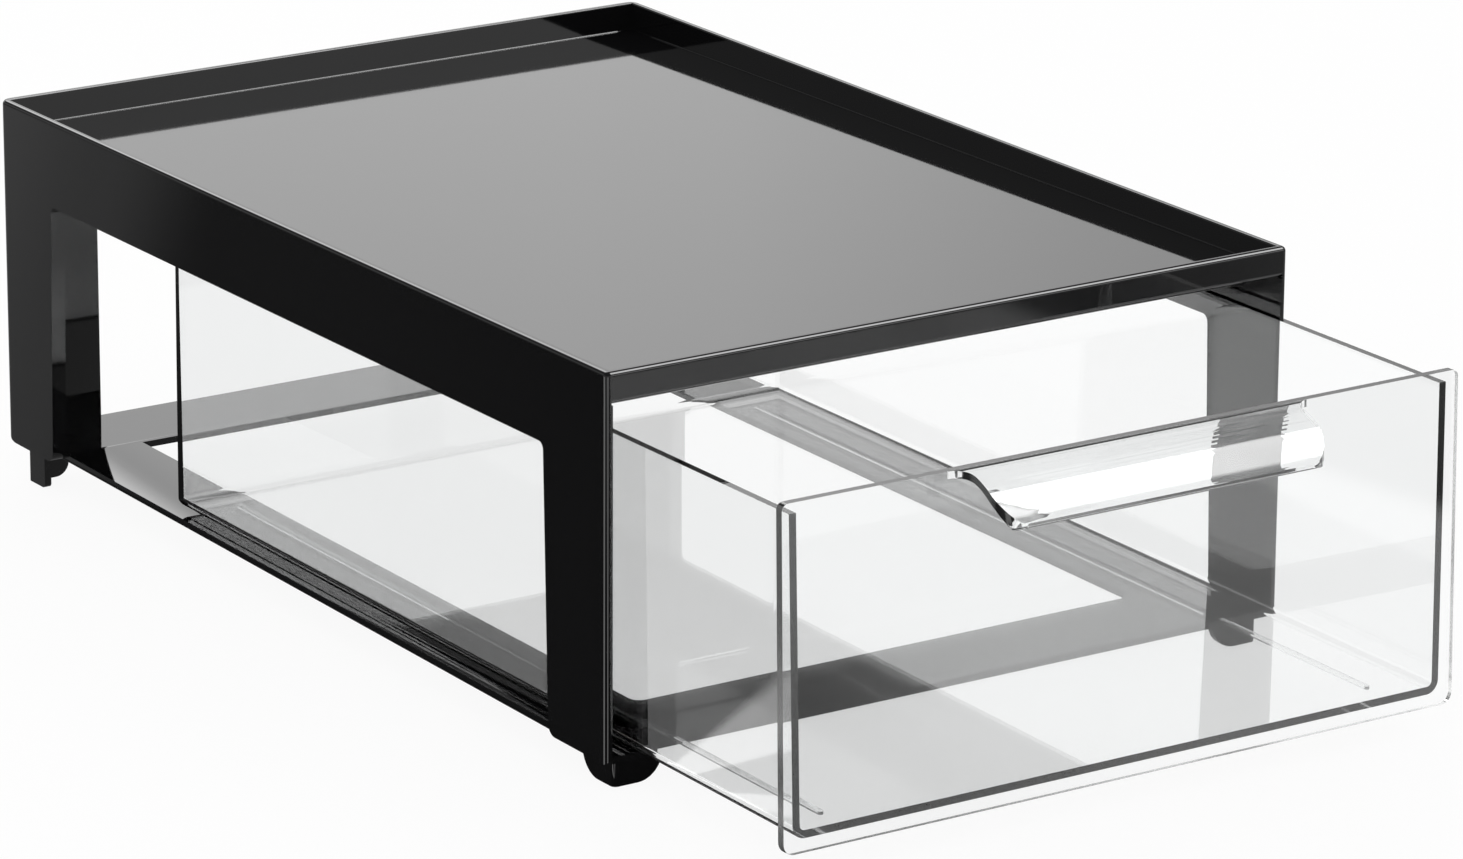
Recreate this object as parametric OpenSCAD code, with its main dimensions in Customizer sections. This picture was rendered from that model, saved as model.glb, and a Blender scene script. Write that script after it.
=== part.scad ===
// Stackable drawer box: a black frame with a recessed tray top, open side windows,
// a ring-shaped base and four feet, and a clear drawer that slides out of its front.
// Millimetres. +Z is up and -Y is the front. The origin is on the resting surface,
// under the middle of the frame. The drawer is drawn partly pulled out.

/* [Frame] */
// Width over the side plates
frame_w = 203.2; // [160:0.2:300]
// Depth from the front edge to the back edge
frame_d = 301.2; // [220:0.2:400]
// Height of the rim above the resting surface
frame_h = 106; // [80:0.5:180]
// Plan radius of the two upright corners at the front
corner_front_r = 1.5; // [1.5:0.1:4]
// Plan radius of the two upright corners at the back
corner_rear_r = 3; // [1.5:0.1:6]
// Thickness of a side plate at its front edge
wall_front_t = 1.9; // [1.5:0.05:4]
// Thickness of a side plate at its back edge
wall_rear_t = 4.3; // [1.5:0.05:6]
// Height of the lower edge above the surface at the front
lift_front = 7.7; // [4:0.1:20]
// Height of the lower edge above the surface at the back
lift_rear = 10.4; // [4:0.1:20]

/* [Tray top] */
// Thickness of the rim around the tray
rim_t = 2.2; // [1.5:0.1:5]
// Rounding along the outer edge of the rim
rim_outer_r = 1.2; // [0.3:0.1:1.4]
// Rounding along the inner edge of the rim
rim_inner_r = 0.6; // [0.2:0.1:0.8]
// Depth of the tray below the rim at the front
tray_front_depth = 6; // [3:0.1:15]
// Depth of the tray below the rim at the back
tray_rear_depth = 7.8; // [3:0.1:15]
// Fillet where the rim meets the tray
tray_fillet = 0.4; // [0.3:0.1:2]
// Thickness of the tray panel
panel_t = 2.2; // [1.5:0.1:4]
// Rounding under the front rail
rail_edge_r = 2; // [0.5:0.1:2.1]

/* [Side windows] */
// Width of each upright leg at the window's upper edge
leg_w = 28.1; // [15:0.1:60]
// How much narrower a leg is at its lower end
leg_taper = 2.2; // [0:0.1:5]
// Depth of the side band below the rim at the front
band_front_h = 24.4; // [14:0.1:40]
// Depth of the side band below the rim at the back
band_rear_h = 23.6; // [14:0.1:40]
// Radius of the window's upper corners
window_r = 2; // [0.5:0.1:8]
// Radius of the front legs' front lower corner
leg_toe_r = 1.2; // [0.3:0.1:4]
// Radius of the legs' lower corners beside the windows
leg_heel_r = 3; // [0.5:0.1:6]
// Radius of the back legs' back lower corner
leg_back_r = 5; // [0.5:0.1:8]

/* [Base and back] */
// Thickness of the base plate
base_t = 1.8; // [1.2:0.1:4]
// Width of the base's side bars, from the frame's outer face
base_side_w = 26.9; // [20:0.1:60]
// Width of the base's front bar
base_front_w = 26.6; // [15:0.1:60]
// Width of the base's back bar
base_rear_w = 27.2; // [15:0.1:60]
// Radius of the base opening's front corners
base_cut_r = 3; // [0.5:0.1:10]
// Width of each back flange, from the frame's outer face
flange_w = 27.6; // [10:0.1:60]
// Thickness of a back flange
flange_t = 3; // [1.5:0.1:5]

/* [Feet] */
// Thickness of the ribs that make a foot
foot_t = 2; // [1.5:0.1:4]
// Plan radius of a foot's outer corner
foot_corner_r = 1.4; // [0.3:0.1:1.4]
// Length of both ribs of a front foot
foot_front_len = 14; // [8:0.1:18]
// Rounding of the free lower ends of a front foot's ribs
foot_front_r = 7; // [0.5:0.1:8]
// Length of the rib across the frame in a back foot
foot_rear_cross_len = 11.4; // [6:0.1:18]
// Rounding of that rib's free lower end
foot_rear_cross_r = 4; // [0.5:0.1:5]
// Length of the rib beside the side plate in a back foot
foot_rear_side_len = 9.3; // [5:0.1:18]
// Rounding of that rib's free lower end
foot_rear_side_r = 1.2; // [0.3:0.1:4]
// Side clearance of a front foot inside the tray below it
foot_front_side_gap = 2.4; // [0.2:0.1:8]
// Side clearance of a back foot inside the tray below it
foot_rear_side_gap = 0.5; // [0.2:0.1:8]
// Clearance in front of the front feet inside the tray below
foot_front_gap = 1.6; // [0.2:0.1:8]
// Clearance behind the back feet inside the tray below
foot_rear_gap = 4.6; // [0.2:0.1:10]

/* [Drawer] */
// How far the drawer stands open as drawn
drawer_out = 70.4; // [0.3:0.1:180]
// Wall thickness of the tub
tub_wall_t = 2; // [1.2:0.1:4]
// Floor thickness of the tub
tub_floor_t = 2; // [1.2:0.1:4]
// Height of the tub's floor over the track
tub_lift = 1; // [0.6:0.1:3]
// Side clearance between the tub and the frame's back end
tub_side_gap = 0.7; // [0.4:0.1:4]
// How much narrower the tub is at its floor, each side
tub_draft = 0.6; // [0:0.1:3]
// Radius of the tub's lower edges
tub_floor_r = 3.5; // [2.2:0.1:8]
// Radius of the tub's back upright corners
tub_corner_r = 2.5; // [2.2:0.1:8]
// Drop of the tub's edge below the top of the drawer front
tub_edge_drop = 3.1; // [0:0.1:20]
// Clearance behind the closed drawer
tub_rear_gap = 10.5; // [1:0.1:60]

/* [Drawer front] */
// Thickness of the drawer front
front_t = 2.3; // [1.5:0.1:5]
// How far the front reaches below the track
front_drop = 2; // [0.5:0.1:4]
// Clearance between the front and the rail above it
front_top_gap = 4.8; // [1:0.1:20]
// Side clearance between the front and the side plates
front_side_gap = 0.3; // [0.3:0.05:2]
// Gap left behind the front when the drawer is shut
close_gap = 0.3; // [0.2:0.05:1]
// Backward lean of the front, in degrees
front_lean = 1.86; // [0:0.01:4]
// Radius of the front's upper corners
front_top_r = 1.8; // [0.5:0.1:6]
// Radius of the front's lower corners
front_bottom_r = 3; // [0.5:0.1:6]

/* [Pull] */
// Width of the pull lip
pull_w = 96.6; // [40:0.1:130]
// Radius of the lip's downward curve
pull_r = 21; // [12:0.1:30]
// Angle that the lip curves through, in degrees
pull_sweep = 59.5; // [30:0.5:80]
// Thickness of the lip
pull_t = 1.8; // [1.2:0.1:3]
// Radius of the lip's front corners
pull_corner_r = 6.6; // [1:0.1:9]
// Fillet where the lip's ends meet the front
pull_root_r = 4.7; // [1:0.1:8]

/* [Runners] */
// Distance of each runner from the tub's side
runner_inset = 15.1; // [6:0.1:20]
// Width of a runner
runner_w = 1.6; // [1:0.1:4]
// Running clearance between a runner and the track
runner_gap = 0.2; // [0.1:0.05:0.5]
// Distance of a runner's ends from the front and the back of the tub
runner_end = 10; // [3:0.5:60]

/* [Hidden] */
$fn = 64;
black = [0.07, 0.07, 0.075];
clear = [0.82, 0.88, 0.9, 0.35];
// Steps in each small rounded corner
arc_steps = 8;
// Extra reach of a cutting shape past the face that it cuts
reach = 5;
// How far a rounding passes the faces that it joins, so that it cuts them cleanly
nick = 0.02;
half_w = frame_w / 2;
half_d = frame_d / 2;
// Half width of the space between the side plates, at the front and at the back
bay_front = half_w - wall_front_t;
bay_rear = half_w - wall_rear_t;
// Heights of the tray and of the panel's underside at the front and at the back
tray_front_z = frame_h - tray_front_depth;
tray_rear_z = frame_h - tray_rear_depth;
under_front_z = tray_front_z - panel_t;
under_rear_z = tray_rear_z - panel_t;
tray_tilt = atan((tray_front_z - tray_rear_z) / frame_d);
// The track is the base plate's upper face, which rises towards the back
track_z = lift_front + base_t;
track_tilt = atan((lift_rear - lift_front) / frame_d);
// Tub and front, in the track's own frame: Y along the track, Z square to it
tub_half = bay_rear - tub_side_gap;
tub_len = frame_d - flange_t - tub_rear_gap + close_gap;
tub_rear_y = tub_len - drawer_out;
front_half = bay_front - front_side_gap;
front_top = under_front_z - track_z - front_top_gap;
tub_front_h = front_top - tub_edge_drop;
tub_rear_h = tub_front_h - tub_len * tan(track_tilt);
lip_reach = pull_r * sin(pull_sweep) - front_t / 2;
runner_x = tub_half - runner_inset;

// Height at depth y of a line given by its heights at the frame's front and back
function slope_z(front_z, rear_z, y) = front_z + (rear_z - front_z) * (y + half_d) / frame_d;

function unit(v) = v / norm(v);

// Points that round the corner b, between the neighbours a and c, with radius r
function round_corner(a, b, c, r) =
    let (
        u = unit(a - b),
        v = unit(c - b),
        half = acos(u * v) / 2,
        m = unit(u + v),
        centre = b + m * r / sin(half),
        from = b + u * r / tan(half) - centre,
        to = b + v * r / tan(half) - centre
    )
    [for (i = [0:arc_steps]) centre + r * unit(from * (1 - i / arc_steps) + to * i / arc_steps)];

// An outline whose corners [x, y, r] are rounded with their own radius
function rounded(corners) = [
    for (i = [0:len(corners) - 1])
        let (
            n = len(corners),
            p = corners[i],
            before = corners[(i + n - 1) % n],
            after = corners[(i + 1) % n]
        )
        each (p.z > 0
            ? round_corner([before.x, before.y], [p.x, p.y], [after.x, after.y], p.z)
            : [[p.x, p.y]])
];

// Draws a (Y, Z) outline across the width w
module across(w) {
    rotate([90, 0, 90])
        linear_extrude(height = w, center = true)
            children();
}

// Draws an (X, Z) outline along Y, from y_from to y_to
module along(y_from, y_to) {
    translate([0, y_to, 0])
        rotate([90, 0, 0])
            linear_extrude(height = y_to - y_from)
                children();
}

// The frame of the sloping track, with its origin at the base's front edge
module on_track() {
    translate([0, -half_d, track_z])
        rotate([track_tilt, 0, 0])
            children();
}

// The frame of the leaning drawer front: its inner face is the plane y = 0
module on_front() {
    on_track()
        translate([0, -drawer_out, 0])
            rotate([-front_lean, 0, 0])
                children();
}

// A w by h rectangle standing on y = 0, with its two upper corners rounded
module round_topped(w, h, r) {
    translate([-w / 2, 0])
        square([w, h - r]);
    translate([r - w / 2, 0])
        square([w - 2 * r, h]);
    for (side = [-1, 1])
        translate([side * (w / 2 - r), h - r])
            circle(r);
}

// Plan radius of the upright corners at the front (end = -1) and at the back (end = 1)
function corner_r(end) = end < 0 ? corner_front_r : corner_rear_r;

// The frame's outline from above
module frame_plan() {
    for (side = [-1, 1], end = [-1, 1])
        translate([side * (half_w - corner_r(end)), end * (half_d - corner_r(end))])
            circle(corner_r(end));
    translate([-half_w, corner_front_r - half_d])
        square([frame_w, frame_d - corner_front_r - corner_rear_r]);
    for (end = [-1, 1])
        translate([0, end * half_d / 2])
            square([frame_w - 2 * corner_r(end), half_d], center = true);
}

// The frame's solid outer form, with its upper edge rounded all the way round
module frame_block() {
    for (side = [-1, 1], end = [-1, 1])
        translate([side * (half_w - corner_r(end)), end * (half_d - corner_r(end)), 0])
            rotate_extrude()
                intersection() {
                    round_topped(2 * corner_r(end), frame_h, rim_outer_r);
                    square([corner_r(end), frame_h]);
                }
    along(corner_front_r - half_d, half_d - corner_rear_r)
        round_topped(frame_w, frame_h, rim_outer_r);
    for (end = [-1, 1])
        across(frame_w - 2 * corner_r(end))
            intersection() {
                round_topped(frame_d, frame_h, rim_outer_r);
                translate([end < 0 ? -half_d : 0, 0])
                    square([half_d, frame_h]);
            }
}

// The space between the side plates from above, narrower at the back
module bay_plan() {
    polygon([
        [-bay_front, -half_d],
        [bay_front, -half_d],
        [bay_rear, half_d],
        [-bay_rear, half_d]
    ]);
}

// The tray's hollow: it sinks towards the back and has a fillet all round its floor
module tray_hollow() {
    inner_w = frame_w - 2 * rim_t;
    inner_d = frame_d - 2 * rim_t;
    high_z = frame_h + reach;
    intersection() {
        across(inner_w)
            polygon(rounded([
                [-inner_d / 2, slope_z(tray_front_z, tray_rear_z, -inner_d / 2), tray_fillet],
                [inner_d / 2, slope_z(tray_front_z, tray_rear_z, inner_d / 2), tray_fillet],
                [inner_d / 2, high_z, 0],
                [-inner_d / 2, high_z, 0]
            ]));
        translate([0, -half_d, tray_front_z - nick])
            rotate([-tray_tilt, 0, 0])
                along(-reach, frame_d + reach)
                    mirror([0, 1])
                        translate([0, -tray_rear_depth - 2 * reach])
                            round_topped(inner_w, tray_rear_depth + 2 * reach, tray_fillet);
    }
}

// What the rounded inner edge leaves open above a hollow of width w
module rim_flare(w) {
    difference() {
        translate([-w / 2 - rim_inner_r, frame_h - rim_inner_r])
            square([w + 2 * rim_inner_r, rim_inner_r + reach]);
        for (side = [-1, 1])
            translate([side * (w / 2 + rim_inner_r), frame_h - rim_inner_r])
                circle(rim_inner_r);
    }
}

// Everything below the tray panel
module below_panel() {
    across(frame_w + reach)
        polygon([
            [-half_d - reach, -reach],
            [half_d + reach, -reach],
            [half_d + reach, slope_z(under_front_z, under_rear_z, half_d + reach)],
            [-half_d - reach, slope_z(under_front_z, under_rear_z, -half_d - reach)]
        ]);
}

// What the front rail's rounded lower edge leaves open
module below_rail() {
    corner = [-half_d - nick, under_front_z - nick];
    across(frame_w - 2 * corner_front_r)
        polygon(concat(
            [corner - [reach, reach]],
            round_corner(corner + [0, reach], corner, corner + [reach, 0], rail_edge_r)
        ));
}

// Tray panel, the rim around it and the front rail
module top_panel() {
    color(black)
        difference() {
            frame_block();
            below_panel();
            below_rail();
            tray_hollow();
            intersection() {
                along(-half_d, half_d)
                    rim_flare(frame_w - 2 * rim_t - 2 * nick);
                across(frame_w)
                    rim_flare(frame_d - 2 * rim_t - 2 * nick);
            }
        }
}

// Outline of a side plate: a band over two legs, from (front, low) to (front, high)
module side_outline() {
    leg_top_y = half_d - leg_w;
    leg_low_y = leg_top_y + leg_taper;
    polygon(rounded([
        [-half_d, lift_front, leg_toe_r],
        [-leg_low_y, slope_z(lift_front, lift_rear, -leg_low_y), leg_heel_r],
        [-leg_top_y, frame_h - band_front_h, window_r],
        [leg_top_y, frame_h - band_rear_h, window_r],
        [leg_low_y, slope_z(lift_front, lift_rear, leg_low_y), leg_heel_r],
        [half_d, lift_rear, leg_back_r],
        [half_d, under_rear_z, 0],
        [-half_d, under_front_z, 0]
    ]));
}

// Right side plate, thicker towards the back
module side_plate() {
    color(black)
        intersection() {
            across(frame_w)
                side_outline();
            linear_extrude(height = frame_h)
                difference() {
                    frame_plan();
                    bay_plan();
                    translate([-frame_w, -frame_d])
                        square([frame_w, 2 * frame_d]);
                }
        }
}

// Ring-shaped base plate between the side plates
module base_plate() {
    cut_half = half_w - base_side_w;
    color(black)
        intersection() {
            linear_extrude(height = frame_h)
                difference() {
                    intersection() {
                        frame_plan();
                        bay_plan();
                    }
                    polygon(rounded([
                        [-cut_half, base_front_w - half_d, base_cut_r],
                        [cut_half, base_front_w - half_d, base_cut_r],
                        [cut_half, half_d - base_rear_w, 0],
                        [-cut_half, half_d - base_rear_w, 0]
                    ]));
                }
            across(frame_w)
                polygon([
                    [-half_d, lift_front],
                    [half_d, lift_rear],
                    [half_d, lift_rear + base_t],
                    [-half_d, lift_front + base_t]
                ]);
        }
}

// Flange that closes the right end of the open back
module rear_flange() {
    color(black)
        intersection() {
            linear_extrude(height = frame_h)
                intersection() {
                    bay_plan();
                    translate([half_w - flange_w, half_d - flange_t])
                        square([flange_w, flange_t]);
                }
            across(frame_w)
                polygon([
                    [-half_d, lift_front + base_t],
                    [half_d, lift_rear + base_t],
                    [half_d, under_rear_z],
                    [-half_d, under_front_z]
                ]);
        }
}

// One rib of a foot, along +X from the foot's outer corner, rounded at its free end
module foot_rib(rib_len, end_r, rib_h) {
    along(0, foot_t)
        polygon(rounded([
            [0, 0, 0],
            [rib_len, 0, min(end_r, rib_len - foot_t)],
            [rib_len, rib_h, 0],
            [0, rib_h, 0]
        ]));
}

// An L of two ribs, across and beside, from its rounded outer corner towards +X and +Y
module foot_ribs(cross_len, cross_r, side_len, side_r) {
    rib_h = lift_front + lift_rear;
    far = cross_len + side_len;
    intersection() {
        union() {
            foot_rib(cross_len, cross_r, rib_h);
            mirror([1, -1, 0])
                foot_rib(side_len, side_r, rib_h);
        }
        linear_extrude(height = rib_h)
            polygon(rounded([
                [0, 0, foot_corner_r],
                [far, 0, 0],
                [far, far, 0],
                [0, far, 0]
            ]));
    }
}

// Everything under the frame's lower edge
module below_frame() {
    across(frame_w)
        polygon([
            [-half_d, 0],
            [half_d, 0],
            [half_d, lift_rear],
            [-half_d, lift_front]
        ]);
}

// Front foot on the left; it stands inside the tray of the box below
module foot_front() {
    color(black)
        intersection() {
            translate([
                rim_t + foot_front_side_gap - half_w,
                rim_t + foot_front_gap - half_d,
                0
            ])
                foot_ribs(foot_front_len, foot_front_r, foot_front_len, foot_front_r);
            below_frame();
        }
}

// Back foot on the left
module foot_rear() {
    color(black)
        intersection() {
            translate([
                rim_t + foot_rear_side_gap - half_w,
                half_d - rim_t - foot_rear_gap,
                0
            ])
                mirror([0, 1, 0])
                    foot_ribs(
                        foot_rear_cross_len, foot_rear_cross_r,
                        foot_rear_side_len, foot_rear_side_r
                    );
            below_frame();
        }
}

// The tub's form at a distance inside its outer faces; the hollow runs out at
// the front and at the top, by run_out
module tub_form(wall, floor_t, run_out) {
    low_half = tub_half - tub_draft - wall;
    high_half = tub_half - wall;
    low_z = tub_lift + floor_t;
    front_y = -drawer_out - run_out;
    rear_y = tub_rear_y - wall;
    high_z = tub_front_h + run_out;
    floor_r = tub_floor_r - wall;
    intersection() {
        along(-drawer_out - tub_len, tub_len)
            polygon(rounded([
                [-low_half, low_z, floor_r],
                [low_half, low_z, floor_r],
                [high_half, high_z, 0],
                [-high_half, high_z, 0]
            ]));
        across(frame_w)
            polygon(rounded([
                [front_y + low_z * tan(front_lean), low_z, 0],
                [rear_y - tub_draft, low_z, floor_r],
                [rear_y, tub_rear_h + run_out, 0],
                [front_y + high_z * tan(front_lean), high_z, 0]
            ]));
        linear_extrude(height = frame_h)
            polygon(rounded([
                [-high_half, -drawer_out - reach, 0],
                [high_half, -drawer_out - reach, 0],
                [high_half, rear_y, tub_corner_r - wall],
                [-high_half, rear_y, tub_corner_r - wall]
            ]));
    }
}

// Floor, two sides and back of the clear drawer
module drawer_tub() {
    color(clear)
        on_track()
            difference() {
                tub_form(0, 0, 0);
                tub_form(tub_wall_t, tub_floor_t, 1);
            }
}

// Clear front, which laps over the front edge of the base
module drawer_front() {
    color(clear)
        on_front()
            along(-front_t, 0)
                polygon(rounded([
                    [-front_half, -front_drop, front_bottom_r],
                    [front_half, -front_drop, front_bottom_r],
                    [front_half, front_top, front_top_r],
                    [-front_half, front_top, front_top_r]
                ]));
}

// Section of the lip: an arc that starts at the front's outer face
module pull_section() {
    mid_r = pull_r - pull_t / 2;
    translate([-front_t / 2, front_top - pull_r]) {
        difference() {
            circle(pull_r);
            circle(pull_r - pull_t);
            translate([-front_t / 2, -pull_r])
                square([2 * pull_r, 2 * pull_r]);
            rotate(90 + pull_sweep)
                square([2 * pull_r, 2 * pull_r]);
            translate([-2 * pull_r, -2 * pull_r])
                square([2 * pull_r, 2 * pull_r]);
        }
        translate([-mid_r * sin(pull_sweep), mid_r * cos(pull_sweep)])
            circle(pull_t / 2);
    }
}

// Outline of the lip from above, with its outer edge towards -Y
module pull_plan() {
    side = pull_w / 2;
    root = side + pull_root_r + 0.1;
    polygon(rounded([
        [-root, 1, 0],
        [-root, -front_t, 0],
        [-side, -front_t, pull_root_r],
        [-side, -front_t - lip_reach, pull_corner_r],
        [side, -front_t - lip_reach, pull_corner_r],
        [side, -front_t, pull_root_r],
        [root, -front_t, 0],
        [root, 1, 0]
    ]));
}

// Lip along the top of the front that the fingers hook under
module drawer_pull() {
    color(clear)
        on_front()
            intersection() {
                across(frame_w)
                    pull_section();
                linear_extrude(height = frame_h)
                    pull_plan();
            }
}

// Right runner under the tub
module runner() {
    front_y = runner_end - drawer_out;
    rear_y = tub_rear_y - runner_end;
    color(clear)
        on_track()
            translate([runner_x, 0, runner_gap])
                linear_extrude(height = tub_lift - runner_gap) {
                    translate([-runner_w / 2, front_y])
                        square([runner_w, rear_y - front_y]);
                    for (y = [front_y, rear_y])
                        translate([0, y])
                            circle(runner_w / 2);
                }
}

module right_side() {
    side_plate();
}

module left_side() {
    mirror([1, 0, 0])
        side_plate();
}

module rear_right_flange() {
    rear_flange();
}

module rear_left_flange() {
    mirror([1, 0, 0])
        rear_flange();
}

module foot_front_left() {
    foot_front();
}

module foot_front_right() {
    mirror([1, 0, 0])
        foot_front();
}

module foot_rear_left() {
    foot_rear();
}

module foot_rear_right() {
    mirror([1, 0, 0])
        foot_rear();
}

module right_runner() {
    runner();
}

module left_runner() {
    mirror([1, 0, 0])
        runner();
}

top_panel();
left_side();
right_side();
base_plate();
rear_left_flange();
rear_right_flange();
foot_front_left();
foot_front_right();
foot_rear_left();
foot_rear_right();
drawer_tub();
drawer_front();
drawer_pull();
left_runner();
right_runner();
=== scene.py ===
import math

import bmesh
import bpy
from mathutils import Matrix, Vector


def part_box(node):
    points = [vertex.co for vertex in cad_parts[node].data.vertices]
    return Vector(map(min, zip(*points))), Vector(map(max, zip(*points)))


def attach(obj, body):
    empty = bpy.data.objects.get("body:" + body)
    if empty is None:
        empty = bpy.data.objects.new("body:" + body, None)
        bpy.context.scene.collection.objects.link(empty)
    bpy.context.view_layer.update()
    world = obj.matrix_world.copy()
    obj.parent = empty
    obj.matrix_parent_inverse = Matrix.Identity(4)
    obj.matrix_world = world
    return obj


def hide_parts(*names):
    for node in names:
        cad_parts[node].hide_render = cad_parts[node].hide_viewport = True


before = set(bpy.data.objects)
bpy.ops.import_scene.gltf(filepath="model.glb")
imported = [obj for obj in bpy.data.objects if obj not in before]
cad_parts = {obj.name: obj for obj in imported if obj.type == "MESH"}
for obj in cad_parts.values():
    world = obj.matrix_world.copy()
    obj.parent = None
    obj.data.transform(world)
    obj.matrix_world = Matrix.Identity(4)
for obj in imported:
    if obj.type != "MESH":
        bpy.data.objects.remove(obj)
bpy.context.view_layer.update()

MM = 0.001

# Rounding of the sharp edges, as a width and a number of segments
FRAME_EDGE = (0.35 * MM, 2)
DRAWER_EDGE = (0.4 * MM, 3)
# Corners closer than this are one, before the solids are joined and after it
WELD_BEFORE = 0.001 * MM
WELD_AFTER = 0.002 * MM
# Faces within this many degrees of a plane are merged before the edges are rounded
MERGE_ANGLE = 0.5
# Edges sharper than this many degrees are rounded
SHARP_ANGLE = 35
# A region of faces within this many degrees, and at least this wide, is a flat face
FLAT_ANGLE = 0.2
FLAT_WIDTH = 1.2 * MM
# The least reach that a region is taken to have, so that a speck has a width too
LEAST_REACH = 1e-6 * MM
# Faces that meet at less than this many degrees are shaded into each other
BLEND_ANGLE = 60

# The camera that the photograph was taken with, in the part's own frame
CAMERA_PLACE = (-0.997948, -1.541633, 0.61002)
CAMERA_YAW = 33.822
CAMERA_PITCH = 17.371
CAMERA_ROLL = 0.342
CAMERA_LENS = 180.446
SENSOR_WIDTH = 36.0
CAMERA_REACH = 20

# Both plastics: refractive index, and the character of their slow unevenness
PLASTIC_IOR = 1.55
NOISE_DETAIL = 3.0
NOISE_ROUGHNESS = 0.6
# Black plastic: colour, fineness of its unevenness, least and greatest roughness, and the
# strength and depth of its bumps
BLACK_COLOUR = (0.003, 0.003, 0.0033, 1)
BLACK_SCALE = 40.0
BLACK_ROUGHNESS = (0.02, 0.07)
BLACK_BUMP = (0.02, 0.4 * MM)
# Clear plastic: the same, and how fast it takes up light per metre, which shows edge on
CLEAR_COLOUR = (0.99, 0.995, 0.995, 1)
CLEAR_SCALE = 25.0
CLEAR_ROUGHNESS = (0.0, 0.012)
CLEAR_BUMP = (0.01, 0.3 * MM)
CLEAR_DENSITY = 9.0
# The drawer front's narrow edges: least and greatest roughness, and how milky they are
SATIN_ROUGHNESS = (0.2, 0.3)
SATIN_HAZE = 0.1
# The narrow edges reach this far in from the front's sides and its lower edge
SATIN_REACH = 0.6 * MM
# A face whose normal has a longer Y part than this isn't a narrow edge
SATIN_FACING = 0.5

WHITE = (1, 1, 1, 1)
# Where zero lies on a ramp that runs from zero to one
MIDDLE = 0.5
# The floor: half its size, its depth under the feet, its colour, finish and how much of it
# is plain white in the picture, which leaves the rest for the shadow
FLOOR_HALF = 6
FLOOR_DROP = 0.2 * MM
FLOOR_COLOUR = (0.9, 0.9, 0.9, 1)
FLOOR_ROUGHNESS = 0.6
FLOOR_WHITE = 0.93

# Painted reflection: the floor glows with this pattern only for rays that a gloss surface mirrors,
# and lights nothing, as (place, brightness) stops. The first ramp runs across a line that slants
# through the middle of the frame's left side, a metre each way.
SLANT_SLOPE = 1.49
SLANT_SCALE = 0.5
PAINTED_REFLECTION_BESIDE = (
    (0.0, 0.6), (0.38, 0.035), (0.54, 0.06), (0.575, 0.25), (0.62, 0.38),
)
# Painted reflection to the right, by X, half a metre each way
PAINTED_REFLECTION_RIGHT = ((0.45, 0.0), (0.56, 0.8), (0.712, 0.8), (0.732, 0.15))
# Painted highlight strips on the floor around the frame's front left corner, by the share of a
# whole turn, which the frame's front left edges mirror as bright lines
PAINTED_HIGHLIGHT_STRIPS = (
    (0.0, 0.0), (0.115, 0.0), (0.13, 1.0), (0.17, 1.0), (0.185, 0.0),
    (0.9, 0.0), (0.915, 1.0), (0.985, 1.0), (1.0, 0.0),
)
PAINTED_STRIP_STRENGTH = 2.2
# Painted dark reflection: past this X the floor is dark to every ray that has been mirrored once
PAINTED_DARK_FAR_RIGHT = ((0.212, 0.0), (0.232, 1.0))

# Painted reflection: what the gloss mirrors of the studio, which only mirrored rays see and which
# lights nothing. The walls' brightness runs round by the share of a whole turn from the -Y
# direction, and fades above and below a low band.
PAINTED_WALL_REFLECTIONS = (
    (0.0, 0.15), (0.25, 0.1), (0.40, 0.06), (0.46, 0.1), (0.51, 0.265), (0.592, 0.265),
    (0.598, 0.23), (0.6045, 0.18), (0.65, 0.06), (0.84, 0.12), (0.87, 0.5), (0.94, 0.5),
    (0.97, 0.2),
)
PAINTED_WALL_BAND = ((0.17, 0.15), (0.23, 1.0), (0.36, 1.0), (0.42, 0.1))
PAINTED_WALL_STRENGTH = 5.0
# Painted reflection: brightness of everything else in the studio
PAINTED_STUDIO_GLOW = 0.12
# Painted highlights, shaped as softboxes that only the gloss mirrors and that light nothing:
# direction, cosines where each starts and is full, and strength
PAINTED_SOFTBOX_HIGHLIGHTS = (
    ((0.53, -0.25, 0.81), 0.94, 0.97, 9.0),
    ((0.27, 0.78, 0.565), 0.966, 0.984, 3.5),
)

FRAME_NODES = (
    "top_panel", "left_side", "right_side", "base_plate", "rear_left_flange",
    "rear_right_flange", "foot_front_left", "foot_front_right", "foot_rear_left",
    "foot_rear_right",
)
DRAWER_NODES = (
    "drawer_tub", "drawer_front", "drawer_pull", "left_runner", "right_runner",
)


def make_camera():
    data = bpy.data.cameras.new("camera")
    data.lens = CAMERA_LENS
    data.sensor_width = SENSOR_WIDTH
    data.clip_end = CAMERA_REACH
    camera = bpy.data.objects.new("camera", data)
    bpy.context.scene.collection.objects.link(camera)
    turn = (
        Matrix.Rotation(math.radians(-CAMERA_YAW), 4, "Z")
        @ Matrix.Rotation(math.radians(90 - CAMERA_PITCH), 4, "X")
        @ Matrix.Rotation(math.radians(CAMERA_ROLL), 4, "Z")
    )
    camera.matrix_world = Matrix.Translation(CAMERA_PLACE) @ turn
    bpy.context.scene.camera = camera


def joined(name, nodes):
    """One closed mesh of several CAD nodes, for pieces that are one moulding."""
    result = None
    for node in nodes:
        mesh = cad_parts[node].data.copy()
        piece = bpy.data.objects.new(name if result is None else node + "_copy", mesh)
        bpy.context.scene.collection.objects.link(piece)
        work = bmesh.new()
        work.from_mesh(mesh)
        bmesh.ops.remove_doubles(work, verts=work.verts, dist=WELD_BEFORE)
        work.to_mesh(mesh)
        work.free()
        if result is None:
            result = piece
            continue
        union = result.modifiers.new("union", "BOOLEAN")
        union.operation = "UNION"
        union.solver = "MANIFOLD"
        union.object = piece
        apply_modifiers(result)
        bpy.data.objects.remove(piece)
    return result


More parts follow.
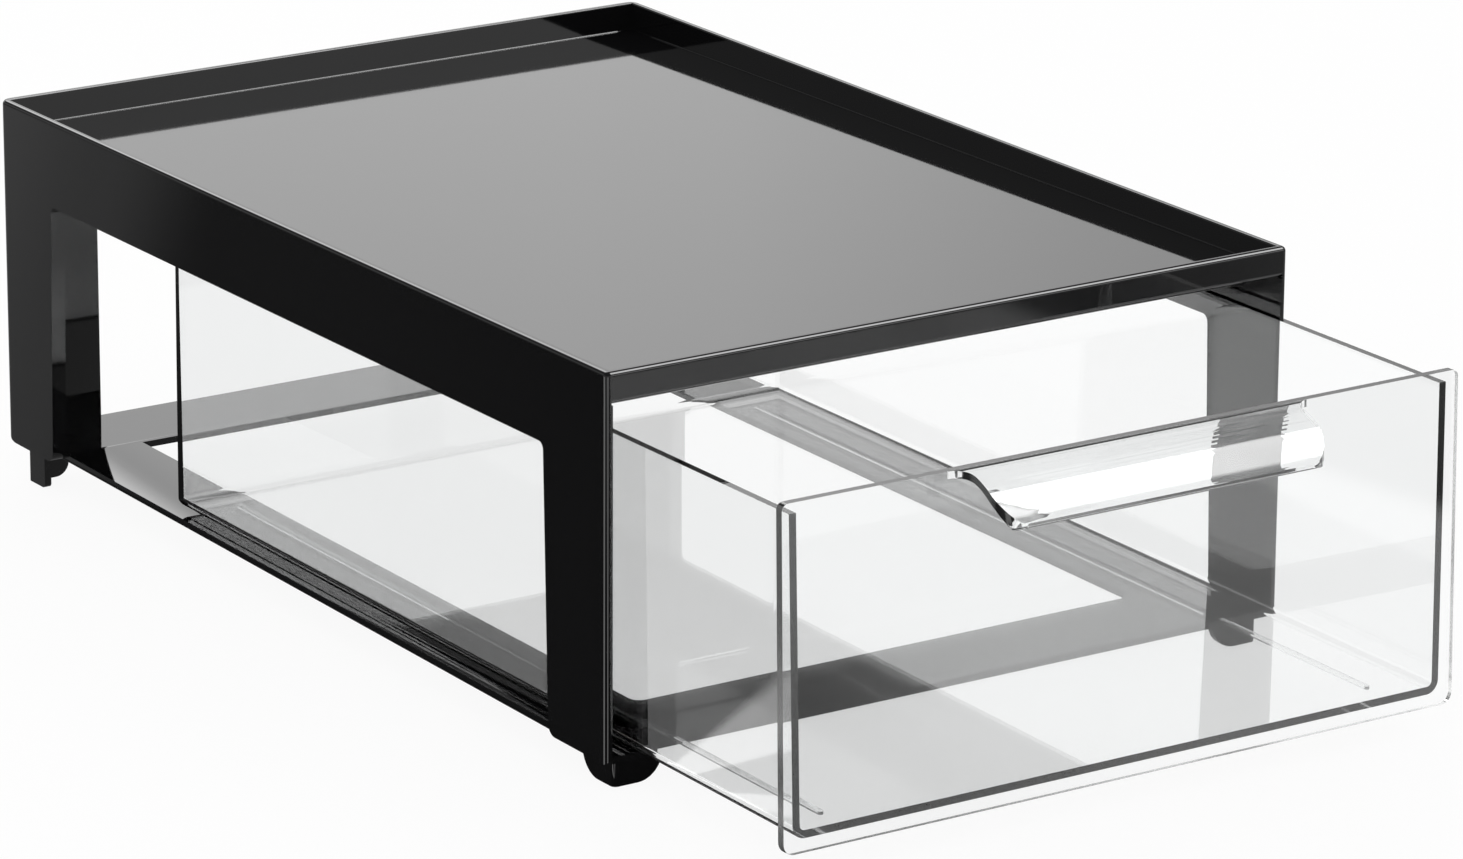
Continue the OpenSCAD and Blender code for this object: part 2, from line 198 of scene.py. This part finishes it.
def apply_modifiers(obj):
    """Puts what the modifiers make into the object's own mesh."""
    graph = bpy.context.evaluated_depsgraph_get()
    made = bpy.data.meshes.new_from_object(obj.evaluated_get(graph))
    obj.modifiers.clear()
    obj.data = made


def soften(obj, edge):
    """Rounds the sharp edges of a moulding and shades it smooth between them."""
    width, segments = edge
    work = bmesh.new()
    work.from_mesh(obj.data)
    bmesh.ops.remove_doubles(work, verts=work.verts, dist=WELD_AFTER)
    bmesh.ops.dissolve_limit(
        work, angle_limit=math.radians(MERGE_ANGLE), verts=work.verts, edges=work.edges,
    )
    work.to_mesh(obj.data)
    work.free()
    bevel = obj.modifiers.new("bevel", "BEVEL")
    bevel.width = width
    bevel.segments = segments
    bevel.limit_method = "ANGLE"
    bevel.angle_limit = math.radians(SHARP_ANGLE)
    bevel.use_clamp_overlap = True
    apply_modifiers(obj)
    shade(obj)


def flat_regions(work):
    """Gives each face a region of coplanar faces, each with its normal and mean width."""
    region_of = {}
    regions = []
    limit = math.cos(math.radians(FLAT_ANGLE))
    for seed in work.faces:
        if seed.index in region_of:
            continue
        normal = seed.normal.copy()
        members = [seed]
        region_of[seed.index] = len(regions)
        for face in members:
            for edge in face.edges:
                for other in edge.link_faces:
                    if other.index not in region_of and other.normal.dot(normal) > limit:
                        region_of[other.index] = len(regions)
                        members.append(other)
        area = sum(face.calc_area() for face in members)
        places = [vert.co for face in members for vert in face.verts]
        low = [min(place[i] for place in places) for i in range(3)]
        high = [max(place[i] for place in places) for i in range(3)]
        reach = max(math.dist(low, high), LEAST_REACH)
        regions.append((normal, area / reach))
    return region_of, regions


def shade(obj):
    """Shades flat faces flat, and the roundings between them smoothly into them."""
    work = bmesh.new()
    work.from_mesh(obj.data)
    work.faces.ensure_lookup_table()
    work.normal_update()
    region_of, regions = flat_regions(work)
    flat = {number for number, region in enumerate(regions) if region[1] > FLAT_WIDTH}
    blend = math.cos(math.radians(BLEND_ANGLE))
    normals = []
    for face in work.faces:
        for loop in face.loops:
            if region_of[face.index] in flat:
                normals.append(regions[region_of[face.index]][0])
                continue
            around = [
                other for other in loop.vert.link_faces if other.normal.dot(face.normal) > blend
            ]
            plates = {region_of[other.index] for other in around} & flat
            if plates:
                best = max(plates, key=lambda number: regions[number][0].dot(face.normal))
                normals.append(regions[best][0])
                continue
            total = Vector((0, 0, 0))
            for other in around:
                total += other.normal * other.calc_area()
            normals.append(total.normalized())
    work.free()
    for polygon in obj.data.polygons:
        polygon.use_smooth = True
    obj.data.normals_split_custom_set([tuple(normal) for normal in normals])


def add(tree, kind, **settings):
    """A new shader node with its own settings, and inputs given by socket name."""
    node = tree.nodes.new(kind)
    for name, value in settings.pop("inputs", {}).items():
        if isinstance(value, bpy.types.NodeSocket):
            tree.links.new(value, node.inputs[name])
        else:
            node.inputs[name].default_value = value
    for name, value in settings.items():
        setattr(node, name, value)
    return node


def maths(tree, operation, first, second=0.0):
    return add(tree, "ShaderNodeMath", operation=operation, inputs={0: first, 1: second}).outputs[0]


def ramp(tree, value, stops):
    """A smooth grey ramp over value: stops are (position, grey)."""
    node = add(tree, "ShaderNodeValToRGB", inputs={"Fac": value})
    band = node.color_ramp
    band.interpolation = "EASE"
    while len(band.elements) < len(stops):
        band.elements.new(MIDDLE)
    for element, (place, _) in zip(band.elements, stops):
        element.position = place
    for element, (_, grey) in zip(band.elements, stops):
        element.color = (grey, grey, grey, 1)
    return node.outputs["Color"]


def uneven(tree, shader, scale, roughness, bump):
    """Slow variation of a moulded surface: its roughness, from low to high, and bumps."""
    low, high = roughness
    strength, distance = bump
    place = add(tree, "ShaderNodeTexCoord").outputs["Object"]
    noise = add(
        tree, "ShaderNodeTexNoise",
        inputs={
            "Vector": place, "Scale": scale, "Detail": NOISE_DETAIL,
            "Roughness": NOISE_ROUGHNESS,
        },
    )
    spread = add(
        tree, "ShaderNodeMapRange",
        inputs={"Value": noise.outputs["Fac"], "To Min": low, "To Max": high},
    )
    tree.links.new(spread.outputs["Result"], shader.inputs["Roughness"])
    shape = add(
        tree, "ShaderNodeBump",
        inputs={"Strength": strength, "Distance": distance, "Height": noise.outputs["Fac"]},
    )
    tree.links.new(shape.outputs["Normal"], shader.inputs["Normal"])


def plastic(name, colour):
    """A new material, with its node tree and its shader."""
    material = bpy.data.materials.new(name)
    material.use_nodes = True
    tree = material.node_tree
    shader = tree.nodes["Principled BSDF"]
    shader.inputs["Base Color"].default_value = colour
    shader.inputs["IOR"].default_value = PLASTIC_IOR
    return material, tree, shader


def black_plastic():
    material, tree, shader = plastic("gloss_black_plastic", BLACK_COLOUR)
    uneven(tree, shader, BLACK_SCALE, BLACK_ROUGHNESS, BLACK_BUMP)
    return material


def clear_plastic(name, roughness, haze):
    material, tree, shader = plastic(name, CLEAR_COLOUR)
    shader.inputs["Transmission Weight"].default_value = 1.0 - haze
    inside = add(tree, "ShaderNodeVolumeAbsorption", inputs={"Density": CLEAR_DENSITY})
    tree.links.new(inside.outputs[0], tree.nodes["Material Output"].inputs["Volume"])
    uneven(tree, shader, CLEAR_SCALE, roughness, CLEAR_BUMP)
    return material


def satin_rim(obj, material):
    """Gives the narrow side and lower faces of the drawer front their own finish."""
    low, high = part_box("drawer_front")
    obj.data.materials.append(material)
    for polygon in obj.data.polygons:
        place = polygon.center
        beside = abs(place.x) > high[0] - SATIN_REACH and place.y < high[1]
        below = place.z < low[2] + SATIN_REACH
        if (beside or below) and abs(polygon.normal.y) < SATIN_FACING:
            polygon.material_index = 1


def dress(obj, material, body, nodes):
    """Gives a moulding its material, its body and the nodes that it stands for."""
    obj.data.materials.clear()
    obj.data.materials.append(material)
    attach(obj, body)
    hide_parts(*nodes)


def mirrored_rays(tree):
    """One for rays that a gloss surface has just mirrored, and zero for all others."""
    path = add(tree, "ShaderNodeLightPath").outputs
    return maths(
        tree, "MULTIPLY", path["Is Glossy Ray"],
        maths(tree, "SUBTRACT", 1.0, path["Is Transmission Ray"]),
    )


def share_of_turn(tree, across, along):
    """The direction of a point as a share of a whole turn, from zero to one."""
    angle = maths(tree, "ARCTAN2", across, along)
    return maths(tree, "ADD", maths(tree, "DIVIDE", angle, 2 * math.pi), MIDDLE)


def painted_floor_reflection(tree, parts):
    """Painted reflection: brightness that the floor glows with for mirrored rays only: dark beside
    the box, paler behind, with bright highlight strips.
    """
    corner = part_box("left_side")[0]
    right_of_corner = maths(tree, "SUBTRACT", parts["X"], corner.x)
    behind_corner = maths(tree, "SUBTRACT", parts["Y"], corner.y)
    slant = maths(
        tree, "ADD", parts["Y"], maths(tree, "MULTIPLY", right_of_corner, SLANT_SLOPE),
    )
    slant = maths(tree, "ADD", maths(tree, "MULTIPLY", slant, SLANT_SCALE), MIDDLE)
    beside = ramp(tree, slant, PAINTED_REFLECTION_BESIDE)
    right = ramp(tree, maths(tree, "ADD", parts["X"], MIDDLE), PAINTED_REFLECTION_RIGHT)
    painted_strips = ramp(tree, share_of_turn(tree, behind_corner, right_of_corner), PAINTED_HIGHLIGHT_STRIPS)
    painted_strips = maths(tree, "MULTIPLY", painted_strips, PAINTED_STRIP_STRENGTH)
    return maths(tree, "MAXIMUM", maths(tree, "MAXIMUM", beside, right), painted_strips)


def floor_material():
    material = bpy.data.materials.new("floor")
    material.use_nodes = True
    tree = material.node_tree
    shader = tree.nodes["Principled BSDF"]
    shader.inputs["Base Color"].default_value = FLOOR_COLOUR
    shader.inputs["Roughness"].default_value = FLOOR_ROUGHNESS
    path = add(tree, "ShaderNodeLightPath").outputs
    seen = maths(tree, "MAXIMUM", path["Is Camera Ray"], path["Is Transmission Ray"])
    white = add(tree, "ShaderNodeEmission", inputs={"Color": WHITE, "Strength": 1.0})
    lit = add(tree, "ShaderNodeMixShader", inputs={
        0: maths(tree, "MULTIPLY", seen, FLOOR_WHITE), 1: shader.outputs[0], 2: white.outputs[0],
    })
    place = add(tree, "ShaderNodeTexCoord").outputs["Object"]
    parts = add(tree, "ShaderNodeSeparateXYZ", inputs={"Vector": place}).outputs
    # Painted reflection: an emission that only mirrored rays see on the floor
    painted_reflection = painted_floor_reflection(tree, parts)
    mirror = add(tree, "ShaderNodeEmission", inputs={"Color": WHITE, "Strength": painted_reflection})
    far_right = maths(
        tree, "MULTIPLY",
        maths(tree, "MINIMUM", path["Glossy Depth"], 1.0), ramp(tree, parts["X"], PAINTED_DARK_FAR_RIGHT),
    )
    # Mirrored rays, and those past the far right, see the painted reflection instead of the plain
    # white floor
    share = maths(tree, "MAXIMUM", mirrored_rays(tree), far_right)
    whole = add(tree, "ShaderNodeMixShader", inputs={
        0: share, 1: lit.outputs[0], 2: mirror.outputs[0],
    })
    tree.links.new(whole.outputs[0], tree.nodes["Material Output"].inputs["Surface"])
    return material


def make_floor():
    mesh = bpy.data.meshes.new("floor")
    half = FLOOR_HALF
    mesh.from_pydata(
        [(-half, -half, 0), (half, -half, 0), (half, half, 0), (-half, half, 0)],
        [], [(0, 1, 2, 3)],
    )
    mesh.materials.append(floor_material())
    floor = bpy.data.objects.new("floor", mesh)
    floor.location.z = -FLOOR_DROP
    bpy.context.scene.collection.objects.link(floor)


def painted_studio_reflection(tree, ray):
    """Painted reflection: brightness of the studio for mirrored rays only: low walls and softbox
    highlights.
    """
    parts = add(tree, "ShaderNodeSeparateXYZ", inputs={"Vector": ray}).outputs
    walls = ramp(tree, share_of_turn(tree, parts["X"], parts["Y"]), PAINTED_WALL_REFLECTIONS)
    walls = maths(tree, "MULTIPLY", walls, ramp(tree, parts["Z"], PAINTED_WALL_BAND))
    studio = maths(tree, "ADD", maths(tree, "MULTIPLY", walls, PAINTED_WALL_STRENGTH), PAINTED_STUDIO_GLOW)
    for aim, start, full, strength in PAINTED_SOFTBOX_HIGHLIGHTS:
        facing = add(
            tree, "ShaderNodeVectorMath", operation="DOT_PRODUCT", inputs={0: ray, 1: aim},
        ).outputs["Value"]
        lit = ramp(tree, facing, [(start, 0.0), (full, 1.0)])
        studio = maths(tree, "ADD", studio, maths(tree, "MULTIPLY", lit, strength))
    return studio


def make_world():
    world = bpy.data.worlds.new("studio")
    bpy.context.scene.world = world
    world.use_nodes = True
    tree = world.node_tree
    background = tree.nodes["Background"]
    background.inputs["Color"].default_value = WHITE
    ray = add(tree, "ShaderNodeTexCoord").outputs["Generated"]
    mirrored = mirrored_rays(tree)
    # Mirrored rays see the painted studio reflection; all other rays see plain white
    total = maths(
        tree, "ADD", maths(tree, "SUBTRACT", 1.0, mirrored),
        maths(tree, "MULTIPLY", mirrored, painted_studio_reflection(tree, ray)),
    )
    tree.links.new(total, background.inputs["Strength"])


def main():
    bpy.context.scene.view_settings.view_transform = "Standard"
    make_camera()
    make_world()
    make_floor()
    shell = joined("frame_moulding", FRAME_NODES)
    soften(shell, FRAME_EDGE)
    dress(shell, black_plastic(), "frame", FRAME_NODES)
    drawer = joined("drawer_moulding", DRAWER_NODES)
    soften(drawer, DRAWER_EDGE)
    clear = clear_plastic("clear_plastic", CLEAR_ROUGHNESS, 0.0)
    dress(drawer, clear, "drawer", DRAWER_NODES)
    satin_rim(drawer, clear_plastic("clear_plastic_satin", SATIN_ROUGHNESS, SATIN_HAZE))


main()
